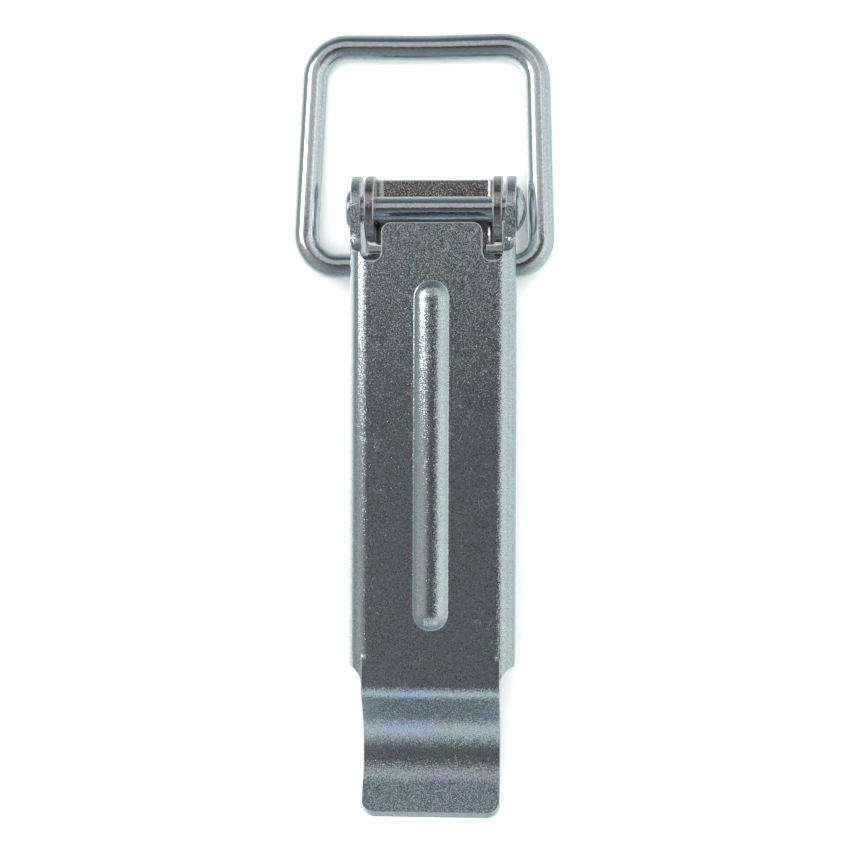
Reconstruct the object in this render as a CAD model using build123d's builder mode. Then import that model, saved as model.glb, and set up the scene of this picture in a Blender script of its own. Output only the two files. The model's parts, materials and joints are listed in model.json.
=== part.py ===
from build123d import *

import os
from math import asin, cos, radians, sin, tan

# Over centre toggle latch: a folded base plate, a channel-section lever with a finger tab,
# a wire bail that the lever pulls, and the rivet that the lever turns on.
#
# Axes: +X across the latch, +Y towards the bail, +Z out of the surface the latch is fixed to.
# Origin: midway between the two screw holes, on the back face of the base plate.
# Places along the latch are given as distances behind the pivot, that is towards -Y.
# All sizes are in millimetres, all angles in degrees.

# ---- Sheet steel ----
sheet = 1.5
base_bend_inside = 1.1
lever_bend_inside = 1.5

# ---- Pivot: the rivet, and the round lugs and ears it passes through ----
ear_radius = 5.1
rivet_diameter = 4.0
rivet_seat_clearance = 0.02
pivot_clearance = 0.08
rivet_head_gap = 0.05
factory_head_diameter = 7.2
factory_head_height = 1.5
formed_head_diameter = 5.8
formed_head_height = 0.8
head_rim = 0.3

# ---- Base plate ----
base_width = 21.0
base_corner_radius = 4.0
relief_length = 0.8
screw_hole_diameter = 5.2
screw_spacing = 26.0
front_screw = 20.0
screw_to_rear_edge = 11.0

# ---- Lever ----
side_gap = 0.6
wall_floor_gap = 0.4
tongue_side_gap = 1.4
tongue_edge = 2.7
tongue_corner_radius = 1.5
notch_to_wall = 0.4
ear_to_face = 2.3
wall_end = 69.5
wall_corner_radius = 3.0
throat_radius = 2.6

# Rib raised in the lever's face
rib_front = 11.5
rib_to_wall_end = 5.5
rib_width = 5.2
rib_radius = 3.5

# Finger tab: bends down from the face, through a valley, and up to its tip
tab_inset = 2.15
tab_flat = 0.2
tab_bend_radius = 3.3
tab_down_angle = 40.0
tab_down_length = 3.9
tab_valley_radius = 8.0
tab_up_angle = 38.0
tab_up_length = 5.0
tab_corner_radius = 2.0

# ---- Bail: one length of round wire, its two ends turned in through the lever's walls ----
wire_diameter = 4.0
bail_clearance = 0.10
bail_floor_gap = 0.5
bail_lug_gap = 1.5
bail_head_gap = 0.12
bail_left_gap = 5.7
bail_reach = 34.35
left_splay = 2.6
right_splay = 1.6
bar_slant = 0.08
bar_dip = 0.3
bar_dip_radius = 150.0
left_foot_radius = 5.1
right_foot_radius = 4.4
left_top_radius = 5.15
right_top_radius = 5.5
wire_end_gap = 6.0
wire_end_chamfer = 0.4

# ---- Places that follow from the sizes above ----
base_bend_outside = base_bend_inside + sheet
lever_bend_outside = lever_bend_inside + sheet
shank_radius = rivet_diameter / 2
wire_radius = wire_diameter / 2

pivot_y = front_screw + screw_spacing / 2
pivot_z = ear_radius + wall_floor_gap
ear_top_z = pivot_z + ear_radius
ear_front_y = pivot_y + ear_radius
base_tail = front_screw + screw_spacing + screw_to_rear_edge

wall_bottom_z = wall_floor_gap
face_z = ear_top_z + ear_to_face
lever_half_width = base_width / 2 + side_gap + sheet
tongue_half_width = base_width / 2 - sheet - tongue_side_gap
notch_edge = lever_half_width - sheet - notch_to_wall
notch_radius = (notch_edge - tongue_half_width) / 2
tab_half_width = lever_half_width - tab_inset
tab_start = wall_end + throat_radius + tab_flat
rib_rear = wall_end - rib_to_wall_end

bail_behind_pivot = ear_radius + bail_lug_gap + wire_radius
bail_y = pivot_y - bail_behind_pivot
bail_z = sheet + bail_floor_gap + wire_radius
notch_root_y = bail_y + notch_radius
head_seat = lever_half_width + rivet_head_gap
past = 1.0


def behind(distance):
    """Y of the place this far behind the pivot."""
    return pivot_y - distance


def channel_section(width, open_z, closed_z, bend_outside):
    """Face of sheet folded to a channel of this outer width, open at one height, closed at the other."""
    with BuildSketch() as section:
        with BuildLine():
            skin = FilletPolyline(
                (-width / 2, open_z),
                (-width / 2, closed_z),
                (width / 2, closed_z),
                (width / 2, open_z),
                radius=bend_outside,
            )
            inwards = Side.LEFT if closed_z < open_z else Side.RIGHT
            offset(skin, amount=sheet, side=inwards)
        make_face()
    return section.sketch


def rib_form(radius, lowest_z):
    """Round bar with ball ends, kept above a height; at rib_radius its outline on the face is the rib's."""
    half_width = rib_width / 2
    depth = (rib_radius**2 - half_width**2) ** 0.5
    front = (0, behind(rib_front + half_width), face_z - depth)
    rear = (0, behind(rib_rear - half_width), face_z - depth)
    with BuildPart() as form:
        with BuildSketch(Plane(origin=front, x_dir=(1, 0, 0), z_dir=(0, -1, 0))):
            Circle(radius)
        extrude(amount=rib_rear - rib_front - rib_width)
        with Locations(front, rear):
            Sphere(radius)
        split(bisect_by=Plane.XY.offset(lowest_z), keep=Keep.TOP)
    return form.part


def cross_holes(diameter, y, z):
    """Cut a hole straight across the latch at this place."""
    with Locations((0, y, z)):
        Cylinder(
            diameter / 2,
            2 * lever_half_width + past,
            rotation=(0, 90, 0),
            mode=Mode.SUBTRACT,
        )


os.makedirs("parts", exist_ok=True)

# ---- Base plate: flat plate with two lugs folded up at its front corners ----
with BuildPart() as base_plate:
    with BuildSketch(Plane.XZ.offset(-ear_front_y)):
        add(channel_section(base_width, ear_top_z, 0, base_bend_outside))
    extrude(amount=2 * ear_radius)
    # Lugs rounded about the pivot
    with BuildSketch(Plane.YZ):
        with Locations((pivot_y, 0)):
            Rectangle(2 * ear_radius, pivot_z, align=(Align.CENTER, Align.MIN))
        with Locations((pivot_y, pivot_z)):
            Circle(ear_radius)
    extrude(amount=base_width, both=True, mode=Mode.INTERSECT)
    # Plate behind the lugs, with a relief cut at the end of each bend
    with BuildSketch(Plane.XY):
        with Locations((0, behind(ear_radius))):
            Rectangle(
                base_width - 2 * base_bend_outside,
                relief_length,
                align=(Align.CENTER, Align.MAX),
            )
        with Locations((0, behind(ear_radius + relief_length))):
            Rectangle(
                base_width,
                base_tail - ear_radius - relief_length,
                align=(Align.CENTER, Align.MAX),
            )
    extrude(amount=sheet)
    fillet(base_plate.edges().filter_by(Axis.Z).group_by(Axis.Y)[0], base_corner_radius)
    with Locations((0, screw_spacing / 2, sheet), (0, -screw_spacing / 2, sheet)):
        Hole(screw_hole_diameter / 2, depth=sheet)
    cross_holes(rivet_diameter + 2 * rivet_seat_clearance, pivot_y, pivot_z)

base_plate.part.label = "base_plate"
export_step(base_plate.part, "parts/base_plate.step")

# ---- Lever: channel over the base plate, with ears at the front and a finger tab behind ----
with BuildPart() as lever:
    with BuildSketch(Plane.XZ.offset(-ear_front_y)):
        add(channel_section(2 * lever_half_width, wall_bottom_z, face_z, lever_bend_outside))
    extrude(amount=ear_radius + wall_end + throat_radius)

    # Side outline: round ears, and walls that end square but for a round lower corner.
    # Above the wall's end a quarter round runs back into the tab's edge.
    with BuildSketch(Plane.YZ) as side_outline:
        with Locations((pivot_y, wall_bottom_z)):
            Rectangle(wall_end, face_z - wall_bottom_z, align=(Align.MAX, Align.MIN))
        fillet(
            side_outline.vertices().group_by(Axis.X)[0].sort_by(Axis.Y)[0],
            wall_corner_radius,
        )
        with Locations((pivot_y, pivot_z)):
            Circle(ear_radius)
        with Locations((behind(wall_end), face_z)):
            Rectangle(throat_radius, lever_bend_outside, align=(Align.MAX, Align.MAX))
        with Locations((behind(wall_end + throat_radius), face_z - lever_bend_outside)):
            Circle(throat_radius, mode=Mode.SUBTRACT)
    extrude(amount=lever_half_width, both=True, mode=Mode.INTERSECT)

    # The same quarter round in plan
    with BuildSketch(Plane.XY.offset(wall_bottom_z)):
        for side in (-1, 1):
            with Locations((side * (tab_half_width + throat_radius), behind(wall_end + throat_radius))):
                Circle(throat_radius)
    extrude(amount=face_z, mode=Mode.SUBTRACT)

    # Face cut back to the tongue, with a round-ended notch on each side of it
    with BuildSketch(Plane.XY.offset(ear_top_z)) as notches:
        with Locations((0, notch_root_y)):
            Rectangle(
                2 * notch_edge,
                ear_front_y + past - notch_root_y,
                align=(Align.CENTER, Align.MIN),
            )
        with Locations((-notch_edge + notch_radius, notch_root_y), (notch_edge - notch_radius, notch_root_y)):
            Circle(notch_radius)
        with BuildSketch(mode=Mode.SUBTRACT) as tongue:
            with Locations((0, behind(tongue_edge))):
                Rectangle(
                    2 * tongue_half_width,
                    bail_behind_pivot,
                    align=(Align.CENTER, Align.MAX),
                )
            fillet(tongue.vertices().group_by(Axis.Y)[-1], tongue_corner_radius)
    extrude(amount=face_z - ear_top_z + past, mode=Mode.SUBTRACT)

    # Bends cut away over the ears, rising to the face in a quarter round
    for side in (-1, 1):
        with BuildSketch(Plane.YZ.offset(side * notch_edge)):
            with Locations((notch_root_y, ear_top_z)):
                Rectangle(
                    ear_front_y + past - notch_root_y,
                    ear_to_face + past,
                    align=(Align.MIN, Align.MIN),
                )
                Rectangle(
                    ear_to_face,
                    ear_to_face,
                    align=(Align.MIN, Align.MIN),
                    mode=Mode.SUBTRACT,
                )
            with Locations((notch_root_y + ear_to_face, face_z)):
                Circle(ear_to_face)
        extrude(amount=side * lever_half_width, mode=Mode.SUBTRACT)

    # Finger tab: the top skin of its profile, thickened inwards
    with BuildSketch(Plane.YZ):
        with BuildLine():
            flat = Line((behind(wall_end - past), face_z), (behind(tab_start), face_z))
            shoulder = JernArc(flat @ 1, flat % 1, tab_bend_radius, tab_down_angle)
            slope = PolarLine(shoulder @ 1, tab_down_length, direction=shoulder % 1)
            valley = JernArc(slope @ 1, slope % 1, tab_valley_radius, -tab_down_angle - tab_up_angle)
            PolarLine(valley @ 1, tab_up_length, direction=valley % 1)
            offset(amount=sheet, side=Side.LEFT)
        make_face()
    extrude(amount=tab_half_width, both=True)
    through_sheet = lever.edges().filter_by(lambda edge: abs(edge.length - sheet) < sheet / 100)
    fillet(through_sheet.group_by(Axis.Y)[0], tab_corner_radius)

    # Rib raised in the face, with the hollow behind it
    add(rib_form(rib_radius, face_z - sheet / 2))
    add(rib_form(rib_radius - sheet, face_z - 2 * sheet), mode=Mode.SUBTRACT)

    cross_holes(rivet_diameter + 2 * pivot_clearance, pivot_y, pivot_z)
    cross_holes(wire_diameter + 2 * bail_clearance, bail_y, bail_z)

lever.part.label = "lever"
export_step(lever.part, "parts/lever.step")

# ---- Bail: bent from one wire, its far bar resting on the mounting surface ----
bail_tilt = asin((bail_z - wire_radius) / (bail_reach + bar_slant))
bail_plane = Plane(
    origin=(0, bail_y, bail_z),
    x_dir=(1, 0, 0),
    z_dir=(0, sin(bail_tilt), cos(bail_tilt)),
)
left_lean = tan(radians(left_splay))
right_lean = tan(radians(right_splay))
left_foot_x = -lever_half_width - bail_left_gap - wire_radius
right_leg_x = head_seat + factory_head_height + bail_head_gap + wire_radius
right_foot_x = right_leg_x + bail_behind_pivot * right_lean
left_top_x = left_foot_x + bail_reach * left_lean
right_top_x = right_foot_x - bail_reach * right_lean

with BuildPart() as bail:
    with BuildLine(bail_plane) as wire_path:
        FilletPolyline(
            (-wire_end_gap / 2, 0),
            (left_foot_x, 0),
            (left_top_x, bail_reach),
            ((left_top_x + right_top_x) / 2, bail_reach + bar_slant / 2 - bar_dip),
            (right_top_x, bail_reach + bar_slant),
            (right_foot_x, 0),
            (wire_end_gap / 2, 0),
            radius=[
                left_foot_radius,
                left_top_radius,
                bar_dip_radius,
                right_top_radius,
                right_foot_radius,
            ],
        )
    with BuildSketch(Plane(origin=wire_path.line @ 0, z_dir=wire_path.line % 0)):
        Circle(wire_radius)
    sweep()
    wire_ends = bail.faces().filter_by(GeomType.PLANE).edges()
    chamfer(wire_ends, wire_end_chamfer)

bail.part.label = "bail"
export_step(bail.part, "parts/bail.step")

# ---- Pivot rivet: domed head on +X, set head on -X ----
factory_head_radius = factory_head_diameter / 2
formed_head_radius = formed_head_diameter / 2

with BuildPart() as pivot_rivet:
    with BuildSketch(Plane(origin=(0, pivot_y, pivot_z), x_dir=(1, 0, 0), z_dir=(0, -1, 0))):
        with BuildLine():
            Polyline(
                (head_seat + factory_head_height, 0),
                (-head_seat - formed_head_height, 0),
                (-head_seat - formed_head_height, formed_head_radius - head_rim),
                (-head_seat - formed_head_height + head_rim, formed_head_radius),
                (-head_seat, formed_head_radius),
                (-head_seat, shank_radius),
                (head_seat, shank_radius),
                (head_seat, factory_head_radius),
                (head_seat + head_rim, factory_head_radius),
            )
            dome_start = (head_seat + head_rim, factory_head_radius)
            dome_end = (head_seat + factory_head_height, 0)
            TangentArc(dome_end, dome_start, tangent=(0, 1))
        make_face()
    revolve(axis=Axis((0, pivot_y, pivot_z), (1, 0, 0)))

pivot_rivet.part.label = "pivot_rivet"
export_step(pivot_rivet.part, "parts/pivot_rivet.step")
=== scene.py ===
"""An over centre toggle latch of zinc plated sheet and wire, on a pale studio floor.

Sizes in the classes are in millimetres and degrees; meshes and shader patterns are in metres.
"""

import json
import logging
import math
from dataclasses import dataclass
from enum import Enum
from functools import cache

import bmesh
import bpy
from mathutils import Matrix, Vector


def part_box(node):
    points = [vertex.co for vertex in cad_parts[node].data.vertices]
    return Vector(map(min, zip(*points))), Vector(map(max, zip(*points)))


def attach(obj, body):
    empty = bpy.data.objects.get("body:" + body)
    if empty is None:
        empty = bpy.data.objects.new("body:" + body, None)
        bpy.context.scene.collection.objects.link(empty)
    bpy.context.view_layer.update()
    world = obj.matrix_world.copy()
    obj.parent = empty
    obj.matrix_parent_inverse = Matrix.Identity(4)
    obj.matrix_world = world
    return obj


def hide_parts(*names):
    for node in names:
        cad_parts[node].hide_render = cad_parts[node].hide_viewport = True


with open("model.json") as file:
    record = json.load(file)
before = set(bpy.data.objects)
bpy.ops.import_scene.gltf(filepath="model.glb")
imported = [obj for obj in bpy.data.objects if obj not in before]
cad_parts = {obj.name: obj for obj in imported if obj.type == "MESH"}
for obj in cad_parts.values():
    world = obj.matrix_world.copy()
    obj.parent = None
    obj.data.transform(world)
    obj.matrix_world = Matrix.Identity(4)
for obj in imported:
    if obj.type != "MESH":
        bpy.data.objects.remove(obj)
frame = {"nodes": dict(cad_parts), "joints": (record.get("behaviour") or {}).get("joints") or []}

log = logging.getLogger("toggle_latch")

MM = 0.001
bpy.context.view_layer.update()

SHARP_ANGLE = 28.0
FLAT_ANGLE = 0.5
BISECT_SLACK = 0.0001
ROUND_STEPS = 3
CUT_EDGES = "cut_edges"
CREASE_EDGES = "crease_edges"
BEND_RADIUS = "bend_radius"

# The Mix node's colour sockets, which share their names with its other types
MIX_FACTOR, MIX_FIRST, MIX_SECOND, MIX_RESULT = 0, 6, 7, 2


# ---- Node helpers ----


def add_node(
    tree: bpy.types.NodeTree, kind: str, inputs: dict | None = None, **settings: object
) -> bpy.types.Node:
    """Add a node, set its properties and fill its inputs.

    Args:
        tree: the tree the node goes into.
        kind: the node's type name.
        inputs: input name or number to a value, or to the socket that feeds it.
        **settings: properties of the node.

    Returns:
        The new node.
    """
    node = tree.nodes.new(kind)
    for name, value in settings.items():
        setattr(node, name, value)
    for name, value in (inputs or {}).items():
        if isinstance(value, bpy.types.NodeSocket):
            tree.links.new(value, node.inputs[name])
        else:
            node.inputs[name].default_value = value
    return node


def calculate(tree: bpy.types.NodeTree, operation: str, *terms: object) -> bpy.types.NodeSocket:
    """Join numbers or sockets with a Math node.

    Args:
        tree: the tree the node goes into.
        operation: the Math node's operation.
        *terms: numbers or sockets, in the node's order.

    Returns:
        The result's socket.
    """
    return add_node(tree, "ShaderNodeMath", dict(enumerate(terms)), operation=operation).outputs[0]


def vector_math(tree: bpy.types.NodeTree, operation: str, *terms: object) -> bpy.types.NodeSocket:
    """Join vectors with a Vector Math node.

    Args:
        tree: the tree the node goes into.
        operation: the Vector Math node's operation.
        *terms: vectors or sockets, in the node's order.

    Returns:
        The resulting vector's socket.
    """
    node = add_node(tree, "ShaderNodeVectorMath", dict(enumerate(terms)), operation=operation)
    return node.outputs["Vector"]


def remap(
    tree: bpy.types.NodeTree,
    value: object,
    low: float,
    high: float,
    to_low: float = 0.0,
    to_high: float = 1.0,
) -> bpy.types.NodeSocket:
    """Stretch a value from one range to another, smoothly and without passing its ends.

    Args:
        tree: the tree the node goes into.
        value: the socket to read.
        low: the value that gives to_low.
        high: the value that gives to_high.
        to_low: the result's first end.
        to_high: the result's other end.

    Returns:
        The result's socket.
    """
    inputs = {"Value": value, "From Min": low, "From Max": high, "To Min": to_low, "To Max": to_high}
    return add_node(tree, "ShaderNodeMapRange", inputs, interpolation_type="SMOOTHSTEP").outputs["Result"]


def mix(
    tree: bpy.types.NodeTree, factor: object, first: object, second: object, blend: str = "MIX"
) -> bpy.types.NodeSocket:
    """Mix two colours.

    Args:
        tree: the tree the node goes into.
        factor: how much of the second colour shows.
        first: the first colour or its socket.
        second: the second colour or its socket.
        blend: the way of mixing.

    Returns:
        The mixed colour's socket.
    """
    inputs = {MIX_FACTOR: factor, MIX_FIRST: first, MIX_SECOND: second}
    return add_node(tree, "ShaderNodeMix", inputs, data_type="RGBA", blend_type=blend).outputs[MIX_RESULT]


def color_ramp(tree: bpy.types.NodeTree, factor: object, stops: tuple) -> bpy.types.NodeSocket:
    """Look a value up on a row of colours.

    Args:
        tree: the tree the node goes into.
        factor: the socket to read, from 0 to 1.
        stops: places from 0 to 1, each with a colour of three parts.

    Returns:
        The colour's socket.
    """
    node = add_node(tree, "ShaderNodeValToRGB", {"Fac": factor})
    elements = node.color_ramp.elements
    while len(elements) < len(stops):
        elements.new(1.0)
    for element, (place, color) in zip(elements, stops):
        element.position = place
        element.color = (*color, 1.0)
    return node.outputs["Color"]


def new_group(name: str, kind: str, inputs: dict[str, tuple], outputs: dict[str, str]) -> tuple:
    """Start a node group with named sockets.

    Args:
        name: the group's name.
        kind: the group's tree type.
        inputs: socket name to its type and its default, or None for no default.
        outputs: socket name to its type.

    Returns:
        The group, its inputs' sockets and the node that its results go to.
    """
    group = bpy.data.node_groups.new(name, kind)
    for socket_name, (socket_type, default) in inputs.items():
        socket = group.interface.new_socket(socket_name, in_out="INPUT", socket_type=socket_type)
        if default is not None:
            socket.default_value = default
    for socket_name, socket_type in outputs.items():
        group.interface.new_socket(socket_name, in_out="OUTPUT", socket_type=socket_type)
    return group, group.nodes.new("NodeGroupInput").outputs, group.nodes.new("NodeGroupOutput")


# ---- Effects that the finishes share ----

# Random values from 0 to 1 between which a crystal begins to flash, and how much more it leans then
FLASH_RANGE = (0.75, 1.0)
FLASH_LEAN = 0.25

# How far a surface faces sideways where a die has begun to rub it, and where it has rubbed most
RUBBED_RANGE = (0.12, 0.35)
RUBBED_SHARE = 0.35

# Hairlines: their directions, how many times longer than wide they are, and how rare
HAIRLINE_TURNS = (12.0, 57.0, 104.0, 151.0)
HAIRLINE_LENGTH = 16.0
HAIRLINE_RANGE = (0.73, 0.82)
SWAY_PER_METRE = 60.0
SWAY = (0.004, 0.004, 0.004)
WORN_PER_METRE = 180.0
WORN_RANGE = (0.4, 0.65)

# Tints of a passivated coat: blue, violet, rose, green and straw
TINT_PER_METRE = 130.0
TINTS = (
    (0.30, (0.84, 0.97, 1.08)),
    (0.42, (1.00, 0.90, 1.10)),
    (0.50, (1.00, 0.95, 1.03)),
    (0.58, (0.88, 1.02, 0.97)),
    (0.72, (1.02, 0.98, 0.90)),
)


@cache
def crystal_grain() -> bpy.types.NodeTree:
    """Build the group for the tiny crystals of a zinc coat.

    Returns:
        A group that puts out a shade for each crystal, a mask of the few that flash, a mask of the
        flat places, which a die hasn't rubbed, and a normal that each crystal tilts its own way.
    """
    group, given, out = new_group(
        "crystal_grain",
        "ShaderNodeTree",
        {
            "Vector": ("NodeSocketVector", None),
            "Per metre": ("NodeSocketFloat", 5000.0),
            "Tilt": ("NodeSocketFloat", 0.1),
        },
        {
            "Shade": "NodeSocketFloat",
            "Flash": "NodeSocketFloat",
            "Flat": "NodeSocketFloat",
            "Normal": "NodeSocketVector",
        },
    )
    cells = add_node(group, "ShaderNodeTexVoronoi", {"Vector": given["Vector"], "Scale": given["Per metre"]})
    random = add_node(group, "ShaderNodeSeparateColor", {"Color": cells.outputs["Color"]}).outputs
    centred = vector_math(group, "SUBTRACT", cells.outputs["Color"], (0.5, 0.5, 0.5))
    flash = remap(group, random["Green"], *FLASH_RANGE)
    facing = add_node(group, "ShaderNodeTexCoord").outputs["Normal"]
    axes = add_node(group, "ShaderNodeSeparateXYZ", {"Vector": facing}).outputs
    flat = remap(group, calculate(group, "ABSOLUTE", axes["X"]), *RUBBED_RANGE, 1.0, RUBBED_SHARE)
    tilt = calculate(group, "MULTIPLY", given["Tilt"], flat)
    steeper = calculate(group, "MULTIPLY", tilt, calculate(group, "MULTIPLY_ADD", flash, FLASH_LEAN, 1.0))
    scaled = add_node(group, "ShaderNodeVectorMath", {0: centred, "Scale": steeper}, operation="SCALE")
    surface = add_node(group, "ShaderNodeNewGeometry").outputs["Normal"]
    tilted = vector_math(group, "NORMALIZE", vector_math(group, "ADD", surface, scaled.outputs["Vector"]))
    group.links.new(random["Red"], out.inputs["Shade"])
    group.links.new(flash, out.inputs["Flash"])
    group.links.new(flat, out.inputs["Flat"])
    group.links.new(tilted, out.inputs["Normal"])
    return group


@cache
def hairlines() -> bpy.types.NodeTree:
    """Build the group for fine curved handling scratches that run in several directions.

    Returns:
        A group that puts out a mask of the scratches.
    """
    group, given, out = new_group(
        "hairlines",
        "ShaderNodeTree",
        {
            "Vector": ("NodeSocketVector", None),
            "Amount": ("NodeSocketFloat", 0.5),
            "Per metre": ("NodeSocketFloat", 6000.0),
        },
        {"Mask": "NodeSocketFloat"},
    )
    sway = add_node(
        group, "ShaderNodeTexNoise", {"Vector": given["Vector"], "Scale": SWAY_PER_METRE, "Detail": 0.0}
    )
    swayed = vector_math(group, "MULTIPLY_ADD", sway.outputs["Color"], SWAY, given["Vector"])
    total = 0.0
    for turn in HAIRLINE_TURNS:
        laid = add_node(
            group,
            "ShaderNodeMapping",
            {
                "Vector": swayed,
                "Location": (turn, turn, 0.0),
                "Rotation": (0.0, 0.0, math.radians(turn)),
                "Scale": (1.0, HAIRLINE_LENGTH, 1.0),
            },
            vector_type="TEXTURE",
        )
        streaks = add_node(
            group,
            "ShaderNodeTexNoise",
            {"Vector": laid.outputs["Vector"], "Scale": given["Per metre"], "Detail": 0.0},
        )
        total = calculate(group, "MAXIMUM", total, remap(group, streaks.outputs["Fac"], *HAIRLINE_RANGE))
    patches = add_node(
        group, "ShaderNodeTexNoise", {"Vector": given["Vector"], "Scale": WORN_PER_METRE, "Detail": 2.0}
    )
    worn = remap(group, patches.outputs["Fac"], *WORN_RANGE)
    mask = calculate(group, "MULTIPLY", calculate(group, "MULTIPLY", total, worn), given["Amount"])
    group.links.new(mask, out.inputs["Mask"])
    return group


@cache
def passivation() -> bpy.types.NodeTree:
    """Build the group for the faint drifting colours of a clear passivated zinc coat.

    Returns:
        A group that takes a colour and puts it out shifted to each of the tints in patches.
    """
    group, given, out = new_group(
        "passivation",
        "ShaderNodeTree",
        {
            "Vector": ("NodeSocketVector", None),
            "Color": ("NodeSocketColor", (0.6, 0.63, 0.65, 1.0)),
            "Strength": ("NodeSocketFloat", 0.3),
        },
        {"Color": "NodeSocketColor"},
    )
    drift = add_node(
        group,
        "ShaderNodeTexNoise",
        {"Vector": given["Vector"], "Scale": TINT_PER_METRE, "Detail": 2.0, "Distortion": 0.3},
    )
    tint = color_ramp(group, drift.outputs["Fac"], TINTS)
    shifted = mix(group, given["Strength"], given["Color"], tint, "MULTIPLY")
    group.links.new(shifted, out.inputs["Color"])
    return group


# ---- Finishes ----

# The bare metal in a scratch, how much of it shows, and how much duller it is
SCRATCH_COLOR = (0.95, 0.97, 1.0, 1.0)
SCRATCH_SHOW = 0.5
SCRATCH_DULLING = 0.3

# Drifts in the roughness: how many in a metre, and how far they go from the mean
CLOUDS_PER_METRE = 220.0
CLOUD_SPREAD = 0.08


@dataclass(frozen=True)
class ZincPlate:
    """Zinc plated steel with a clear passivated coat.

    Attributes:
        name: the material's name.
        color: the coat's colour.
        roughness: the coat's mean roughness.
        crystals: crystals along a millimetre.
        shade_spread: how far the crystals differ in brightness.
        flash: how much the brightest crystals stand out.
        tilt: how far the crystals lean, 0 being flat.
        scratches: how strongly hairlines show.
        tint: how strongly the drifting colours show.
    """

    name: str
    color: tuple[float, float, float]
    roughness: float
    crystals: float = 5.0
    shade_spread: float = 0.3
    flash: float = 0.3
    tilt: float = 0.1
    scratches: float = 0.5
    tint: float = 0.5

    def material(self) -> bpy.types.Material:
        """Build the material.

        Returns:
            The new material.
        """
        made = bpy.data.materials.new(self.name)
        made.use_nodes = True
        tree = made.node_tree
        shader = tree.nodes["Principled BSDF"].inputs
        shader["Metallic"].default_value = 1.0
        place = add_node(tree, "ShaderNodeTexCoord").outputs["Object"]

        grain = self._group(
            tree, crystal_grain(), Vector=place, Tilt=self.tilt, **{"Per metre": self.crystals / MM}
        )
        strength = calculate(tree, "MULTIPLY", grain["Flat"], self.tint)
        tinted = self._group(tree, passivation(), Vector=place, Color=(*self.color, 1.0), Strength=strength)
        lines = self._group(tree, hairlines(), Vector=place, Amount=self.scratches)

        spread = self.shade_spread
        shade = remap(tree, grain["Shade"], 0.0, 1.0, 1.0 - spread, 1.0 + spread)
        lit = calculate(tree, "ADD", shade, calculate(tree, "MULTIPLY", grain["Flash"], self.flash))
        grained = vector_math(tree, "MULTIPLY", tinted["Color"], lit)
        shown = calculate(tree, "MULTIPLY", lines["Mask"], SCRATCH_SHOW)
        tree.links.new(mix(tree, shown, grained, SCRATCH_COLOR), shader["Base Color"])

        cloud = add_node(
            tree, "ShaderNodeTexNoise", {"Vector": place, "Scale": CLOUDS_PER_METRE, "Detail": 3.0}
        )
        smoothest, roughest = self.roughness * (1.0 - CLOUD_SPREAD), self.roughness * (1.0 + CLOUD_SPREAD)
        dulling = remap(tree, cloud.outputs["Fac"], 0.3, 0.7, smoothest, roughest)
        scratched = calculate(tree, "MULTIPLY", lines["Mask"], SCRATCH_DULLING)
        tree.links.new(calculate(tree, "ADD", dulling, scratched), shader["Roughness"])
        tree.links.new(grain["Normal"], shader["Normal"])
        return made

    @staticmethod
    def _group(
        tree: bpy.types.NodeTree, group: bpy.types.NodeTree, **inputs: object
    ) -> bpy.types.NodeOutputs:
        """Place a shared effect in a tree.

        Args:
            tree: the material's tree.
            group: the shared effect.
            **inputs: the effect's inputs by name.

        Returns:
            The effect's outputs.
        """
        node = tree.nodes.new("ShaderNodeGroup")
        node.node_tree = group
        for name, value in inputs.items():
            if isinstance(value, bpy.types.NodeSocket):
                tree.links.new(value, node.inputs[name])
            else:
                node.inputs[name].default_value = value
        return node.outputs


LEVER_COAT = ZincPlate(
    name="plated_lever",
    color=(0.60, 0.68, 0.71),
    roughness=0.13,
    crystals=10.5,
    shade_spread=0.24,
    flash=0.1,
    tilt=0.3,
    scratches=0.7,
    tint=0.5,
)
# The base plate's coat: darker and browner than the lever's, partly the plate's own tone and partly painted
# shade for its floor, which lies under the lever
BASE_COAT_AND_SHADE = ZincPlate(
    name="plated_sheet",
    color=(0.48, 0.455, 0.44),
    roughness=0.15,
    crystals=10.0,
    shade_spread=0.3,
    flash=0.9,
    tilt=0.13,
    tint=0.5,
)
# Cut edges: their own rougher finish, and a colour lighter than any plating, which is a painted highlight
# that makes the rims read bright
EDGE_COAT_AND_HIGHLIGHT = ZincPlate(
    name="plated_edge",
    color=(0.94, 0.97, 0.96),
    roughness=0.48,
    shade_spread=0.2,
    tilt=0.12,
    scratches=0.1,
)
WIRE_COAT = ZincPlate(
    name="plated_wire",
    color=(0.70, 0.77, 0.785),
    roughness=0.13,
    shade_spread=0.08,
    flash=0.1,
    tilt=0.04,
    scratches=0.3,
)
RIVET_COAT = ZincPlate(
    name="plated_rivet",
    color=(0.69, 0.73, 0.77),
    roughness=0.16,
    shade_spread=0.1,
    flash=0.1,
    tilt=0.05,
    scratches=0.4,
)


# ---- Pieces ----


def link_piece(name: str, mesh: bpy.types.Mesh) -> bpy.types.Object:
    """Put a mesh into the scene as an object at the origin.

    Args:
        name: the piece's name.
        mesh: its mesh, in place.

    Returns:
        The new object.
    """
    piece = bpy.data.objects.new(name, mesh)
    bpy.context.scene.collection.objects.link(piece)
    return piece


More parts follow.
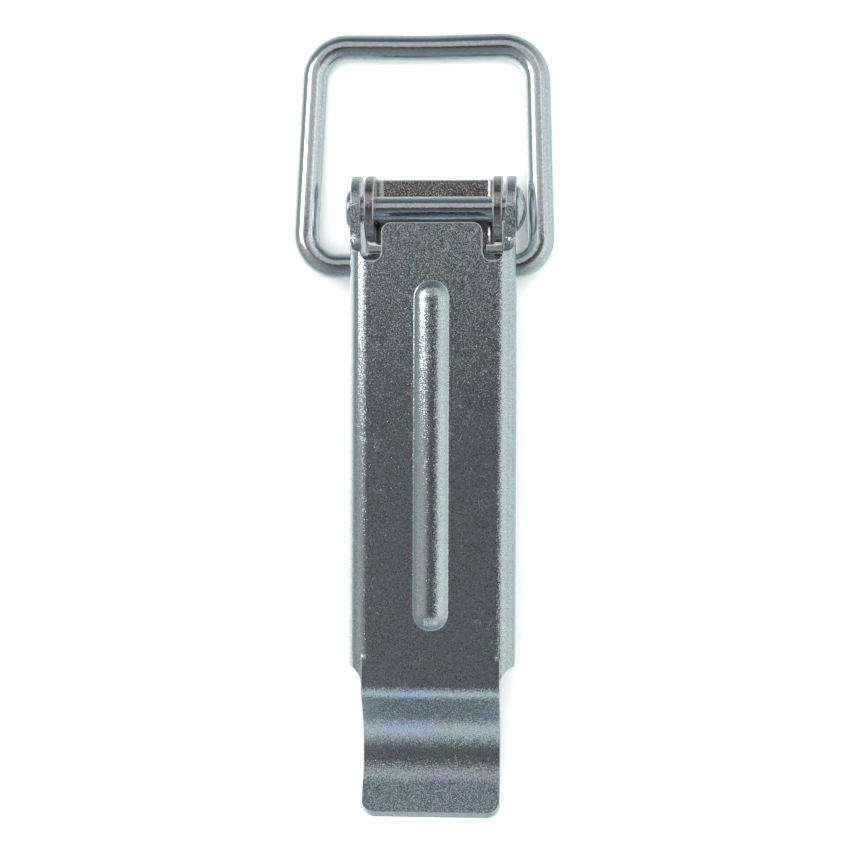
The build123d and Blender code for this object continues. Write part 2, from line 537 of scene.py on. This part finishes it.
def round_edges(
    piece: bpy.types.Object, width: float, segments: int, weights: str = "", material: int = -1
) -> bpy.types.Modifier:
    """Round a piece's edges with a Bevel modifier.

    Args:
        piece: the piece to round.
        width: the rounding's width in millimetres.
        segments: faces across the rounding.
        weights: the edge attribute that picks the edges, or nothing for all sharp ones.
        material: the material slot of the new faces.

    Returns:
        The new modifier.
    """
    bevel = piece.modifiers.new("rounded_" + (weights or "edges"), "BEVEL")
    bevel.width = width * MM
    bevel.segments = segments
    bevel.material = material
    bevel.use_clamp_overlap = False
    if weights:
        bevel.limit_method = "WEIGHT"
        bevel.edge_weight = weights
    else:
        bevel.limit_method = "ANGLE"
        bevel.angle_limit = math.radians(SHARP_ANGLE)
    return bevel


def shade_evenly(piece: bpy.types.Object) -> None:
    """Weight a piece's normals by its faces' areas, so that flat faces look flat beside roundings."""
    even = piece.modifiers.new("even_shading", "WEIGHTED_NORMAL")
    even.mode = "FACE_AREA"
    even.weight = 100


def joint_place(name: str) -> Vector:
    """Look up where a joint is."""
    return Vector(next(joint["pos_m"] for joint in frame["joints"] if joint["name"] == name))


def seat(piece: bpy.types.Object, node: str, body: str) -> bpy.types.Object:
    """Put a piece in place of a CAD node.

    Args:
        piece: the finished piece.
        node: the CAD node it stands for.
        body: the body it rides on.

    Returns:
        The same piece.
    """
    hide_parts(node)
    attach(piece, body)
    return piece


@dataclass
class PressedSheet:
    """A pressing of plated sheet, with the softly rounded edges and creases that a press leaves.

    Attributes:
        node: the CAD node that gives the shape.
        body: the body it rides on.
        slot: the record's material slot; not used.
        weld: corners nearer than this are one.
        cut_round: width of the rounding along the cut edges of ears.
        thin_share: the other cut edges' rounding, as a share of that.
        ear_reach: how far from the lever's pivot the ears' edges lie.
        ear_foot: the height over which they do.
        crease_round: width of the rounding along the creases of formed ribs.
        room: how many roundings wide a face is at least beside a rounded edge.
        breaks: places along Y where long faces are divided, so that their ends round on their own.
    """

    node: str
    body: str
    slot: str
    weld: float = 0.1
    cut_round: float = 0.2
    thin_share: float = 0.6
    ear_reach: float = 5.4
    ear_foot: float = 3.0
    crease_round: float = 0.16
    room: float = 0.6
    breaks: tuple[float, ...] = ()

    def is_crease(self, edge: bmesh.types.BMEdge) -> bool:
        """Tell whether a sharp edge is a formed crease and not a cut one."""
        return False

    def is_ear(self, edge: bmesh.types.BMEdge) -> bool:
        """Tell whether an edge runs round an ear or lug that stands about the lever's pivot."""
        middle = (edge.verts[0].co + edge.verts[1].co) / 2
        reach = (middle.yz - joint_place("lever_pivot").yz).length
        return middle.z > self.ear_foot * MM and reach < self.ear_reach * MM

    def is_roomy(self, edge: bmesh.types.BMEdge) -> bool:
        """Tell whether the faces beside an edge are wide enough for its rounding."""
        needed = self.room * self.cut_round * MM * edge.calc_length()
        return min(face.calc_area() for face in edge.link_faces) > needed

    def build_shape(self) -> bpy.types.Mesh:
        """Merge the CAD node's loose triangles to a closed mesh and mark its edges.

        Returns:
            The new mesh.
        """
        shape = bmesh.new()
        shape.from_mesh(frame["nodes"][self.node].data)
        bmesh.ops.remove_doubles(shape, verts=shape.verts, dist=self.weld * MM)
        bmesh.ops.dissolve_limit(
            shape, angle_limit=math.radians(FLAT_ANGLE), verts=shape.verts, edges=shape.edges
        )
        for place in self.breaks:
            everything = [*shape.verts, *shape.edges, *shape.faces]
            bmesh.ops.bisect_plane(
                shape,
                geom=everything,
                dist=BISECT_SLACK * MM,
                plane_co=(0.0, place * MM, 0.0),
                plane_no=(0.0, 1.0, 0.0),
            )
        cuts = shape.edges.layers.float.new(CUT_EDGES)
        creases = shape.edges.layers.float.new(CREASE_EDGES)
        for edge in shape.edges:
            if edge.calc_face_angle(0.0) < math.radians(SHARP_ANGLE):
                continue
            if self.is_crease(edge):
                edge[creases] = 1.0
            elif edge.is_convex and self.is_roomy(edge):
                edge[cuts] = 1.0 if self.is_ear(edge) else self.thin_share
        for face in shape.faces:
            face.smooth = True
            face.material_index = 0
        mesh = bpy.data.meshes.new(self.node + "_pressing")
        shape.to_mesh(mesh)
        shape.free()
        return mesh

    def build(self, surface: bpy.types.Material, edge: bpy.types.Material) -> bpy.types.Object:
        """Build the piece and put it in place of its CAD node.

        Args:
            surface: the material of its faces.
            edge: the material of its rounded cut edges, lighter than the plating as a painted highlight.

        Returns:
            The finished piece.
        """
        mesh = self.build_shape()
        mesh.materials.append(surface)
        mesh.materials.append(edge)
        piece = link_piece(self.node + "_pressing", mesh)
        round_edges(piece, self.crease_round, ROUND_STEPS, CREASE_EDGES)
        round_edges(piece, self.cut_round, ROUND_STEPS, CUT_EDGES, 1)
        shade_evenly(piece)
        return seat(piece, self.node, self.body)


@dataclass
class Lever(PressedSheet):
    """The channel lever: a folded sheet with a rib raised in its face and a finger tab.

    Attributes:
        rib_reach: half the width of the strip along the middle in which the rib lies.
        rib_front: from the lever's front to that strip.
        rib_rear: from the tip of the lever's tab to that strip.
    """

    node: str = "lever"
    body: str = "lever"
    slot: str = "plated_lever"
    rib_reach: float = 3.2
    rib_front: float = 14.0
    rib_rear: float = 27.0
    breaks: tuple[float, ...] = (29.0, 27.4, 24.9, 0.0, -34.3, -37.3)

    def is_crease(self, edge: bmesh.types.BMEdge) -> bool:
        """Tell whether a sharp edge runs round the rib or its hollow."""
        low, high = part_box("lever")
        front, rear = high.y - self.rib_front * MM, low.y + self.rib_rear * MM
        return all(abs(v.co.x) < self.rib_reach * MM and rear < v.co.y < front for v in edge.verts)


@dataclass
class BasePlate(PressedSheet):
    """The base plate: a flat sheet with two lugs folded up at its front corners."""

    node: str = "base_plate"
    body: str = "base"
    slot: str = "plated_sheet"
    thin_share: float = 1.0


@dataclass
class Bail:
    """The bail: one length of wire bent to a loop, its ends turned in through the lever's walls.

    Attributes:
        wire: diameter of the wire.
        reach: from the bail's pivot to its far bar, on the left.
        bar_slant: how much further the far bar is on the right.
        bar_dip: how far the middle of the far bar is pulled in.
        left_splay: how far the left leg leans inwards.
        right_splay: how far the right leg leans inwards.
        foot_radii: radii of the bends beside the lever, left and right.
        top_radii: radii of the bends beside the far bar, left and right.
        dip_radius: radius of the far bar's bend in the middle.
        end_gap: between the wire's ends, inside the lever.
        end_chamfer: width of the chamfer on the wire's ends.
        bend_steps: straight stretches in each bend.
        wire_sides: faces round the wire.
    """

    wire: float = 4.0
    reach: float = 34.35
    bar_slant: float = 0.08
    bar_dip: float = 0.3
    left_splay: float = 2.6
    right_splay: float = 1.6
    foot_radii: tuple[float, float] = (5.1, 4.4)
    top_radii: tuple[float, float] = (5.15, 5.5)
    dip_radius: float = 150.0
    end_gap: float = 6.0
    end_chamfer: float = 0.4
    bend_steps: int = 24
    wire_sides: int = 48

    def foot(self, outermost: float, splay: float, radius: float) -> float:
        """Work out where a leg would meet the pivot's line if its bend were sharp.

        Args:
            outermost: distance from the middle to the outside of the bend.
            splay: how far the leg leans inwards.
            radius: the bend's radius.

        Returns:
            The distance from the middle.
        """
        lean = math.radians(splay)
        return outermost - self.wire / 2 + radius * (math.tan(lean) + 1 / math.cos(lean) - 1)

    def route(self) -> list[tuple[float, float, float]]:
        """Lay out the wire's corners.

        Returns:
            For each corner its place across, its distance from the pivot and its bend's radius.
        """
        low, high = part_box("bail")
        left = -self.foot(-low.x / MM, self.left_splay, self.foot_radii[0])
        right = self.foot(high.x / MM, self.right_splay, self.foot_radii[1])
        left_top = left + self.reach * math.tan(math.radians(self.left_splay))
        right_top = right - self.reach * math.tan(math.radians(self.right_splay))
        return [
            (-self.end_gap / 2, 0.0, 0.0),
            (left, 0.0, self.foot_radii[0]),
            (left_top, self.reach, self.top_radii[0]),
            ((left_top + right_top) / 2, self.reach + self.bar_slant / 2 - self.bar_dip, self.dip_radius),
            (right_top, self.reach + self.bar_slant, self.top_radii[1]),
            (right, 0.0, self.foot_radii[1]),
            (self.end_gap / 2, 0.0, 0.0),
        ]

    def build_path(self) -> bpy.types.Mesh:
        """Make the route a chain of edges that carries its bends' radii.

        Returns:
            The new mesh.
        """
        pivot = joint_place("bail_pivot")
        tilt = math.asin((pivot.z / MM - self.wire / 2) / (self.reach + self.bar_slant))
        away = Vector((0.0, math.cos(tilt), -math.sin(tilt)))
        route = self.route()
        mesh = bpy.data.meshes.new("bail_path")
        places = [pivot + Vector((x * MM, 0.0, 0.0)) + away * reach * MM for x, reach, _ in route]
        mesh.from_pydata(places, [(i, i + 1) for i in range(len(route) - 1)], [])
        radii = mesh.attributes.new(BEND_RADIUS, "FLOAT", "POINT")
        radii.data.foreach_set("value", [radius * MM for _, _, radius in route])
        return mesh

    def wire_tree(self) -> bpy.types.NodeTree:
        """Build the Geometry Nodes tree that bends a wire along a path.

        Returns:
            A tree with the wire's radius, its faces round, the steps of a bend and its material as inputs.
        """
        tree, given, out = new_group(
            "bent_wire",
            "GeometryNodeTree",
            {
                "Path": ("NodeSocketGeometry", None),
                "Wire radius": ("NodeSocketFloat", 0.002),
                "Wire sides": ("NodeSocketInt", 32),
                "Bend steps": ("NodeSocketInt", 16),
                "Material": ("NodeSocketMaterial", None),
            },
            {"Wire": "NodeSocketGeometry"},
        )
        radius = add_node(tree, "GeometryNodeInputNamedAttribute", {"Name": BEND_RADIUS}).outputs["Attribute"]
        line = add_node(tree, "GeometryNodeMeshToCurve", {"Mesh": given["Path"]}).outputs["Curve"]
        bent = add_node(
            tree,
            "GeometryNodeFilletCurve",
            {"Curve": line, "Count": given["Bend steps"], "Radius": radius},
            mode="POLY",
        ).outputs["Curve"]
        ring = add_node(
            tree,
            "GeometryNodeCurvePrimitiveCircle",
            {"Resolution": given["Wire sides"], "Radius": given["Wire radius"]},
        ).outputs["Curve"]
        swept = add_node(
            tree, "GeometryNodeCurveToMesh", {"Curve": bent, "Profile Curve": ring, "Fill Caps": True}
        ).outputs["Mesh"]
        smooth = add_node(tree, "GeometryNodeSetShadeSmooth", {"Geometry": swept}).outputs["Geometry"]
        real = add_node(tree, "GeometryNodeRealizeInstances", {"Geometry": smooth}).outputs["Geometry"]
        coated = add_node(
            tree, "GeometryNodeSetMaterial", {"Geometry": real, "Material": given["Material"]}
        ).outputs["Geometry"]
        tree.links.new(coated, out.inputs["Wire"])
        return tree

    def build(self, surface: bpy.types.Material) -> bpy.types.Object:
        """Build the bail and put it in place of its CAD node.

        Args:
            surface: the wire's material.

        Returns:
            The finished piece.
        """
        inputs = {
            "Wire radius": self.wire / 2 * MM,
            "Wire sides": self.wire_sides,
            "Bend steps": self.bend_steps,
            "Material": surface,
        }
        mesh = grow(self.build_path(), self.wire_tree(), inputs, "bail_wire")
        piece = link_piece("bail_wire", mesh)
        round_edges(piece, self.end_chamfer, 2)
        return seat(piece, "bail", "bail")


def grow(
    base: bpy.types.Mesh, tree: bpy.types.NodeTree, inputs: dict[str, object], name: str
) -> bpy.types.Mesh:
    """Run a Geometry Nodes tree on a mesh and take the result as a plain mesh.

    Args:
        base: the mesh that the tree starts from.
        tree: the tree.
        inputs: the tree's inputs by name.
        name: the new mesh's name.

    Returns:
        The new mesh.
    """
    seedling = link_piece(name + "_base", base)
    modifier = seedling.modifiers.new(tree.name, "NODES")
    modifier.node_group = tree
    for item in tree.interface.items_tree:
        if item.in_out == "INPUT" and item.name in inputs:
            modifier[item.identifier] = inputs[item.name]
    evaluated = seedling.evaluated_get(bpy.context.evaluated_depsgraph_get())
    mesh = bpy.data.meshes.new_from_object(evaluated)
    mesh.name = name
    shape = bmesh.new()
    shape.from_mesh(mesh)
    bmesh.ops.recalc_face_normals(shape, faces=shape.faces)
    shape.to_mesh(mesh)
    shape.free()
    seedling.modifiers.remove(modifier)
    bpy.data.objects.remove(seedling)
    return mesh


@dataclass
class PivotRivet:
    """The rivet that the lever turns on: a domed head, a plain shank and a head set over the other end.

    Attributes:
        shank: diameter of the shank.
        domed_head: diameter of the head on the right.
        domed_height: height of that head.
        set_head: diameter of the head on the left.
        set_height: height of that head.
        rim: height of the straight rim of the domed head, and the set head's chamfer.
        edge_round: width of the rounding along its edges.
        dome_steps: rings on the dome.
        sides: faces round the rivet.
    """

    shank: float = 4.0
    domed_head: float = 7.2
    domed_height: float = 1.5
    set_head: float = 5.8
    set_height: float = 0.8
    rim: float = 0.3
    edge_round: float = 0.12
    dome_steps: int = 14
    sides: int = 96

    def profile(self) -> list[tuple[float, float]]:
        """Draw half the rivet's section.

        Returns:
            Places along the rivet with their distances from its axis, from one pole to the other.
        """
        low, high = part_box("pivot_rivet")
        left, right = low.x / MM, high.x / MM
        seat_left, seat_right = left + self.set_height, right - self.domed_height
        rise = self.domed_height - self.rim
        head = self.domed_head / 2
        ball = (head**2 + rise**2) / (2 * rise)
        widest = math.asin(head / ball)
        angles = [widest * step / self.dome_steps for step in range(self.dome_steps, -1, -1)]
        dome = [(right - ball * (1 - math.cos(angle)), ball * math.sin(angle)) for angle in angles]
        return [
            (left, 0.0),
            (left, self.set_head / 2 - self.rim),
            (left + self.rim, self.set_head / 2),
            (seat_left, self.set_head / 2),
            (seat_left, self.shank / 2),
            (seat_right, self.shank / 2),
            (seat_right, head),
            *dome,
        ]

    def build(self, surface: bpy.types.Material) -> bpy.types.Object:
        """Build the rivet and put it in place of its CAD node.

        Args:
            surface: the rivet's material.

        Returns:
            The finished piece.
        """
        axis = joint_place("lever_pivot")
        profile = self.profile()
        shape = bmesh.new()
        poles = [shape.verts.new((x * MM, axis.y, axis.z)) for x, _ in (profile[0], profile[-1])]
        turns = [2 * math.pi * side / self.sides for side in range(self.sides)]
        rings = [
            [
                shape.verts.new((x * MM, axis.y + r * MM * math.cos(turn), axis.z + r * MM * math.sin(turn)))
                for turn in turns
            ]
            for x, r in profile[1:-1]
        ]
        for side in range(self.sides):
            after = (side + 1) % self.sides
            shape.faces.new((poles[0], rings[0][side], rings[0][after]))
            shape.faces.new((poles[1], rings[-1][after], rings[-1][side]))
            for inner, outer in zip(rings, rings[1:]):
                shape.faces.new((inner[side], outer[side], outer[after], inner[after]))
        bmesh.ops.recalc_face_normals(shape, faces=shape.faces)
        for face in shape.faces:
            face.smooth = True
        mesh = bpy.data.meshes.new("rivet_pin")
        shape.to_mesh(mesh)
        shape.free()
        mesh.materials.append(surface)
        piece = link_piece("rivet_pin", mesh)
        round_edges(piece, self.edge_round, 2)
        shade_evenly(piece)
        return seat(piece, "pivot_rivet", "base")


# ---- Studio ----

NEUTRAL = (0.97, 1.0, 1.0)
BLUE = (0.79, 1.0, 1.09)
DEEP_BLUE = (0.68, 1.0, 1.25)
GREEN = (0.86, 1.0, 0.98)
WALL_STRENGTH = 2.0
ALMOST_ZERO = 1e-6


class Wall(Enum):
    """The sides of the studio: each a row of angle from overhead, brightness and colour."""

    RIGHT = (
        (0, 0.02, NEUTRAL), (6, 0.05, NEUTRAL), (14, 0.12, NEUTRAL), (27, 0.20, NEUTRAL),
        (34, 0.72, NEUTRAL), (50, 0.86, NEUTRAL), (64, 0.84, NEUTRAL), (80, 0.72, GREEN),
        (97, 0.84, GREEN), (130, 0.72, GREEN), (180, 0.60, NEUTRAL),
    )
    LEFT = (
        (0, 0.02, NEUTRAL), (6, 0.07, NEUTRAL), (14, 0.26, NEUTRAL), (26, 0.36, NEUTRAL),
        (40, 0.44, NEUTRAL), (70, 0.44, NEUTRAL), (82, 0.31, GREEN), (94, 0.42, GREEN),
        (108, 0.95, NEUTRAL), (125, 1.25, NEUTRAL), (180, 1.30, NEUTRAL),
    )
    NEAR = (
        (0, 0.02, NEUTRAL), (6, 0.05, NEUTRAL), (18, 0.15, NEUTRAL), (50, 0.26, BLUE),
        (88, 0.33, BLUE), (104, 0.46, GREEN), (139, 0.80, GREEN), (180, 0.85, GREEN),
    )
    FAR = (
        (0, 0.02, NEUTRAL), (6, 0.05, NEUTRAL), (18, 0.12, NEUTRAL), (50, 0.13, NEUTRAL),
        (60, 0.13, DEEP_BLUE), (72, 0.13, DEEP_BLUE), (86, 0.26, GREEN), (102, 0.46, GREEN),
        (136, 0.78, GREEN), (180, 0.85, GREEN),
    )


@dataclass(frozen=True)
class Softbox:
    """A soft light in the studio, seen only in what it lights.

    Attributes:
        name: the light's name.
        target: the point it faces.
        azimuth: where it stands, from +X towards +Y.
        polar: how far it leans from overhead, as seen from the target.
        distance: from the target.
        size: its width across the latch's plane and its height.
        radiance: how bright its face is.
        color: the light's colour.
        lit: the pieces that it lights, or nothing for all.
    """

    name: str
    target: tuple[float, float, float]
    azimuth: float
    polar: float
    distance: float
    size: tuple[float, float]
    radiance: float
    color: tuple[float, float, float] = (1.0, 1.0, 1.0)
    lit: tuple[str, ...] = ()

    def build(self) -> bpy.types.Object:
        """Build the light.

        Returns:
            The new light.
        """
        data = bpy.data.lights.new(self.name, "AREA")
        data.shape = "RECTANGLE"
        data.size = self.size[0] * MM
        data.size_y = self.size[1] * MM
        data.energy = self.radiance * math.pi * data.size * data.size_y
        data.color = self.color
        azimuth, polar = math.radians(self.azimuth), math.radians(self.polar)
        level = Vector((math.cos(azimuth), math.sin(azimuth), 0.0))
        out = level * math.sin(polar) + Vector((0.0, 0.0, math.cos(polar)))
        lamp = bpy.data.objects.new(self.name, data)
        place = Vector(self.target) * MM + out * self.distance * MM
        across = Vector((-math.sin(azimuth), math.cos(azimuth), 0.0))
        turned = Matrix((across, out.cross(across), out)).transposed()
        lamp.matrix_world = Matrix.Translation(place) @ turned.to_4x4()
        lamp.visible_camera = False
        bpy.context.scene.collection.objects.link(lamp)
        if self.lit:
            lit = bpy.data.collections.new(self.name + "_lit")
            for piece in self.lit:
                lit.objects.link(bpy.data.objects[piece])
            lamp.light_linking.receiver_collection = lit
        return lamp


SOFTBOXES = (
    Softbox(
        name="left_box",
        target=(-15.0, 118.0, 5.0),
        azimuth=180.0,
        polar=42.0,
        distance=260.0,
        size=(180.0, 140.0),
        radiance=2.0,
    ),
    Softbox(
        name="far_box",
        target=(0.0, 166.0, 0.0),
        azimuth=90.0,
        polar=0.0,
        distance=190.0,
        size=(300.0, 192.0),
        radiance=0.40,
    ),
    Softbox(
        name="near_box",
        target=(0.0, -48.0, 10.0),
        azimuth=-90.0,
        polar=50.0,
        distance=250.0,
        size=(300.0, 190.0),
        radiance=0.38,
        color=(0.9, 1.0, 1.02),
        lit=("lever_pressing",),
    ),
)


@dataclass
class Studio:
    """The floor, the light and the camera.

    Attributes:
        floor_size: width of the floor.
        view_distance: from the camera to the point it looks at.
        view_width: width of the view at that point.
        aim: the point it looks at.
        lean: how far the camera leans to the right of straight above.
        roll: how far it is turned about its own axis.
        sensor: width of the camera's sensor.
        paper: the floor's shade of grey.
        backdrop: what the camera sees past the floor, as a share of the walls' strength.
        overhead_strength: strength of the light from above that only shades.
        overhead_spread: how wide that light is.
    """

    floor_size: float = 6000.0
    view_distance: float = 290.0
    view_width: float = 127.8
    aim: tuple[float, float, float] = (-0.75, -0.3, 12.9)
    lean: float = 3.5
    roll: float = 0.2
    sensor: float = 36.0
    paper: float = 0.88
    backdrop: float = 0.47
    overhead_strength: float = 3.8
    overhead_spread: float = 70.0

    def build_floor(self) -> None:
        """Lay the pale floor that the latch stands on."""
        half = self.floor_size / 2 * MM
        mesh = bpy.data.meshes.new("floor")
        corners = [(-half, -half, 0.0), (half, -half, 0.0), (half, half, 0.0), (-half, half, 0.0)]
        mesh.from_pydata(corners, [], [(0, 1, 2, 3)])
        floor = link_piece("floor", mesh)
        paper = bpy.data.materials.new("floor_paper")
        paper.use_nodes = True
        shader = paper.node_tree.nodes["Principled BSDF"].inputs
        shader["Base Color"].default_value = (self.paper, self.paper, self.paper, 1.0)
        shader["Roughness"].default_value = 0.9
        shader["Specular IOR Level"].default_value = 0.1
        mesh.materials.append(paper)
        floor.visible_glossy = False
        floor.visible_shadow = False

    def build_light(self) -> None:
        """Surround the latch with soft studio light, and light the floor from above."""
        world = bpy.data.worlds.new("studio")
        bpy.context.scene.world = world
        world.use_nodes = True
        tree = world.node_tree
        background = tree.nodes["Background"]
        direction = add_node(tree, "ShaderNodeTexCoord").outputs["Generated"]
        axes = add_node(tree, "ShaderNodeSeparateXYZ", {"Vector": direction}).outputs
        polar = calculate(tree, "DIVIDE", calculate(tree, "ARCCOSINE", axes["Z"]), math.pi)
        x_squared = calculate(tree, "MULTIPLY", axes["X"], axes["X"])
        y_squared = calculate(tree, "MULTIPLY", axes["Y"], axes["Y"])
        level = calculate(tree, "MAXIMUM", calculate(tree, "ADD", x_squared, y_squared), ALMOST_ZERO)
        is_right = calculate(tree, "GREATER_THAN", axes["X"], 0.0)
        is_far = calculate(tree, "GREATER_THAN", axes["Y"], 0.0)
        across = mix(tree, is_right, self.wall(tree, polar, Wall.LEFT), self.wall(tree, polar, Wall.RIGHT))
        along = mix(tree, is_far, self.wall(tree, polar, Wall.NEAR), self.wall(tree, polar, Wall.FAR))
        light = mix(tree, calculate(tree, "DIVIDE", x_squared, level), along, across)
        seen = add_node(tree, "ShaderNodeLightPath").outputs["Is Camera Ray"]
        backdrop = (self.backdrop, self.backdrop, self.backdrop, 1.0)
        tree.links.new(mix(tree, seen, light, backdrop), background.inputs["Color"])
        background.inputs["Strength"].default_value = WALL_STRENGTH

        overhead = bpy.data.lights.new("overhead", "SUN")
        overhead.energy = self.overhead_strength
        overhead.angle = math.radians(self.overhead_spread)
        lamp = bpy.data.objects.new("overhead", overhead)
        lamp.visible_glossy = False
        bpy.context.scene.collection.objects.link(lamp)

    def wall(self, tree: bpy.types.NodeTree, polar: bpy.types.NodeSocket, side: Wall) -> bpy.types.NodeSocket:
        """Shade one side of the studio from overhead, past the horizon, to straight below.

        Args:
            tree: the world's tree.
            polar: the angle from overhead, 1 being straight below.
            side: which side.

        Returns:
            The light's colour, as a share of the walls' strength.
        """
        stops = [
            (angle / 180.0, tuple(part * brightness / WALL_STRENGTH for part in tint))
            for angle, brightness, tint in side.value
        ]
        return color_ramp(tree, polar, tuple(stops))

    def build_camera(self) -> None:
        """Set the camera up above the latch."""
        data = bpy.data.cameras.new("camera")
        data.sensor_width = self.sensor
        data.lens = self.sensor * self.view_distance / self.view_width
        data.clip_start = 0.01
        data.clip_end = 20.0
        camera = bpy.data.objects.new("camera", data)
        lean = math.radians(self.lean)
        back = Vector((math.sin(lean), 0.0, math.cos(lean)))
        right = Vector((0.0, 1.0, 0.0)).cross(back)
        turned = Matrix((right, back.cross(right), back)).transposed()
        place = Vector(self.aim) * MM + back * self.view_distance * MM
        spin = Matrix.Rotation(math.radians(self.roll), 3, "Z")
        camera.matrix_world = Matrix.Translation(place) @ (turned @ spin).to_4x4()
        bpy.context.scene.collection.objects.link(camera)
        bpy.context.scene.camera = camera


def main() -> None:
    """Build the latch and its studio."""
    logging.basicConfig(level=logging.INFO, format="%(message)s")
    studio = Studio()
    studio.build_floor()
    studio.build_light()
    studio.build_camera()
    bpy.context.scene.view_settings.view_transform = "Standard"
    # The cut edges' material, lighter than the plating as a painted highlight
    cut_edge = EDGE_COAT_AND_HIGHLIGHT.material()
    pieces = (
        BasePlate().build(BASE_COAT_AND_SHADE.material(), cut_edge),
        Lever().build(LEVER_COAT.material(), cut_edge),
        Bail().build(WIRE_COAT.material()),
        PivotRivet().build(RIVET_COAT.material()),
    )
    for box in SOFTBOXES:
        box.build()
    for piece in pieces:
        log.info("%s: %d faces", piece.name, len(piece.data.polygons))


if __name__ == "__main__":
    main()
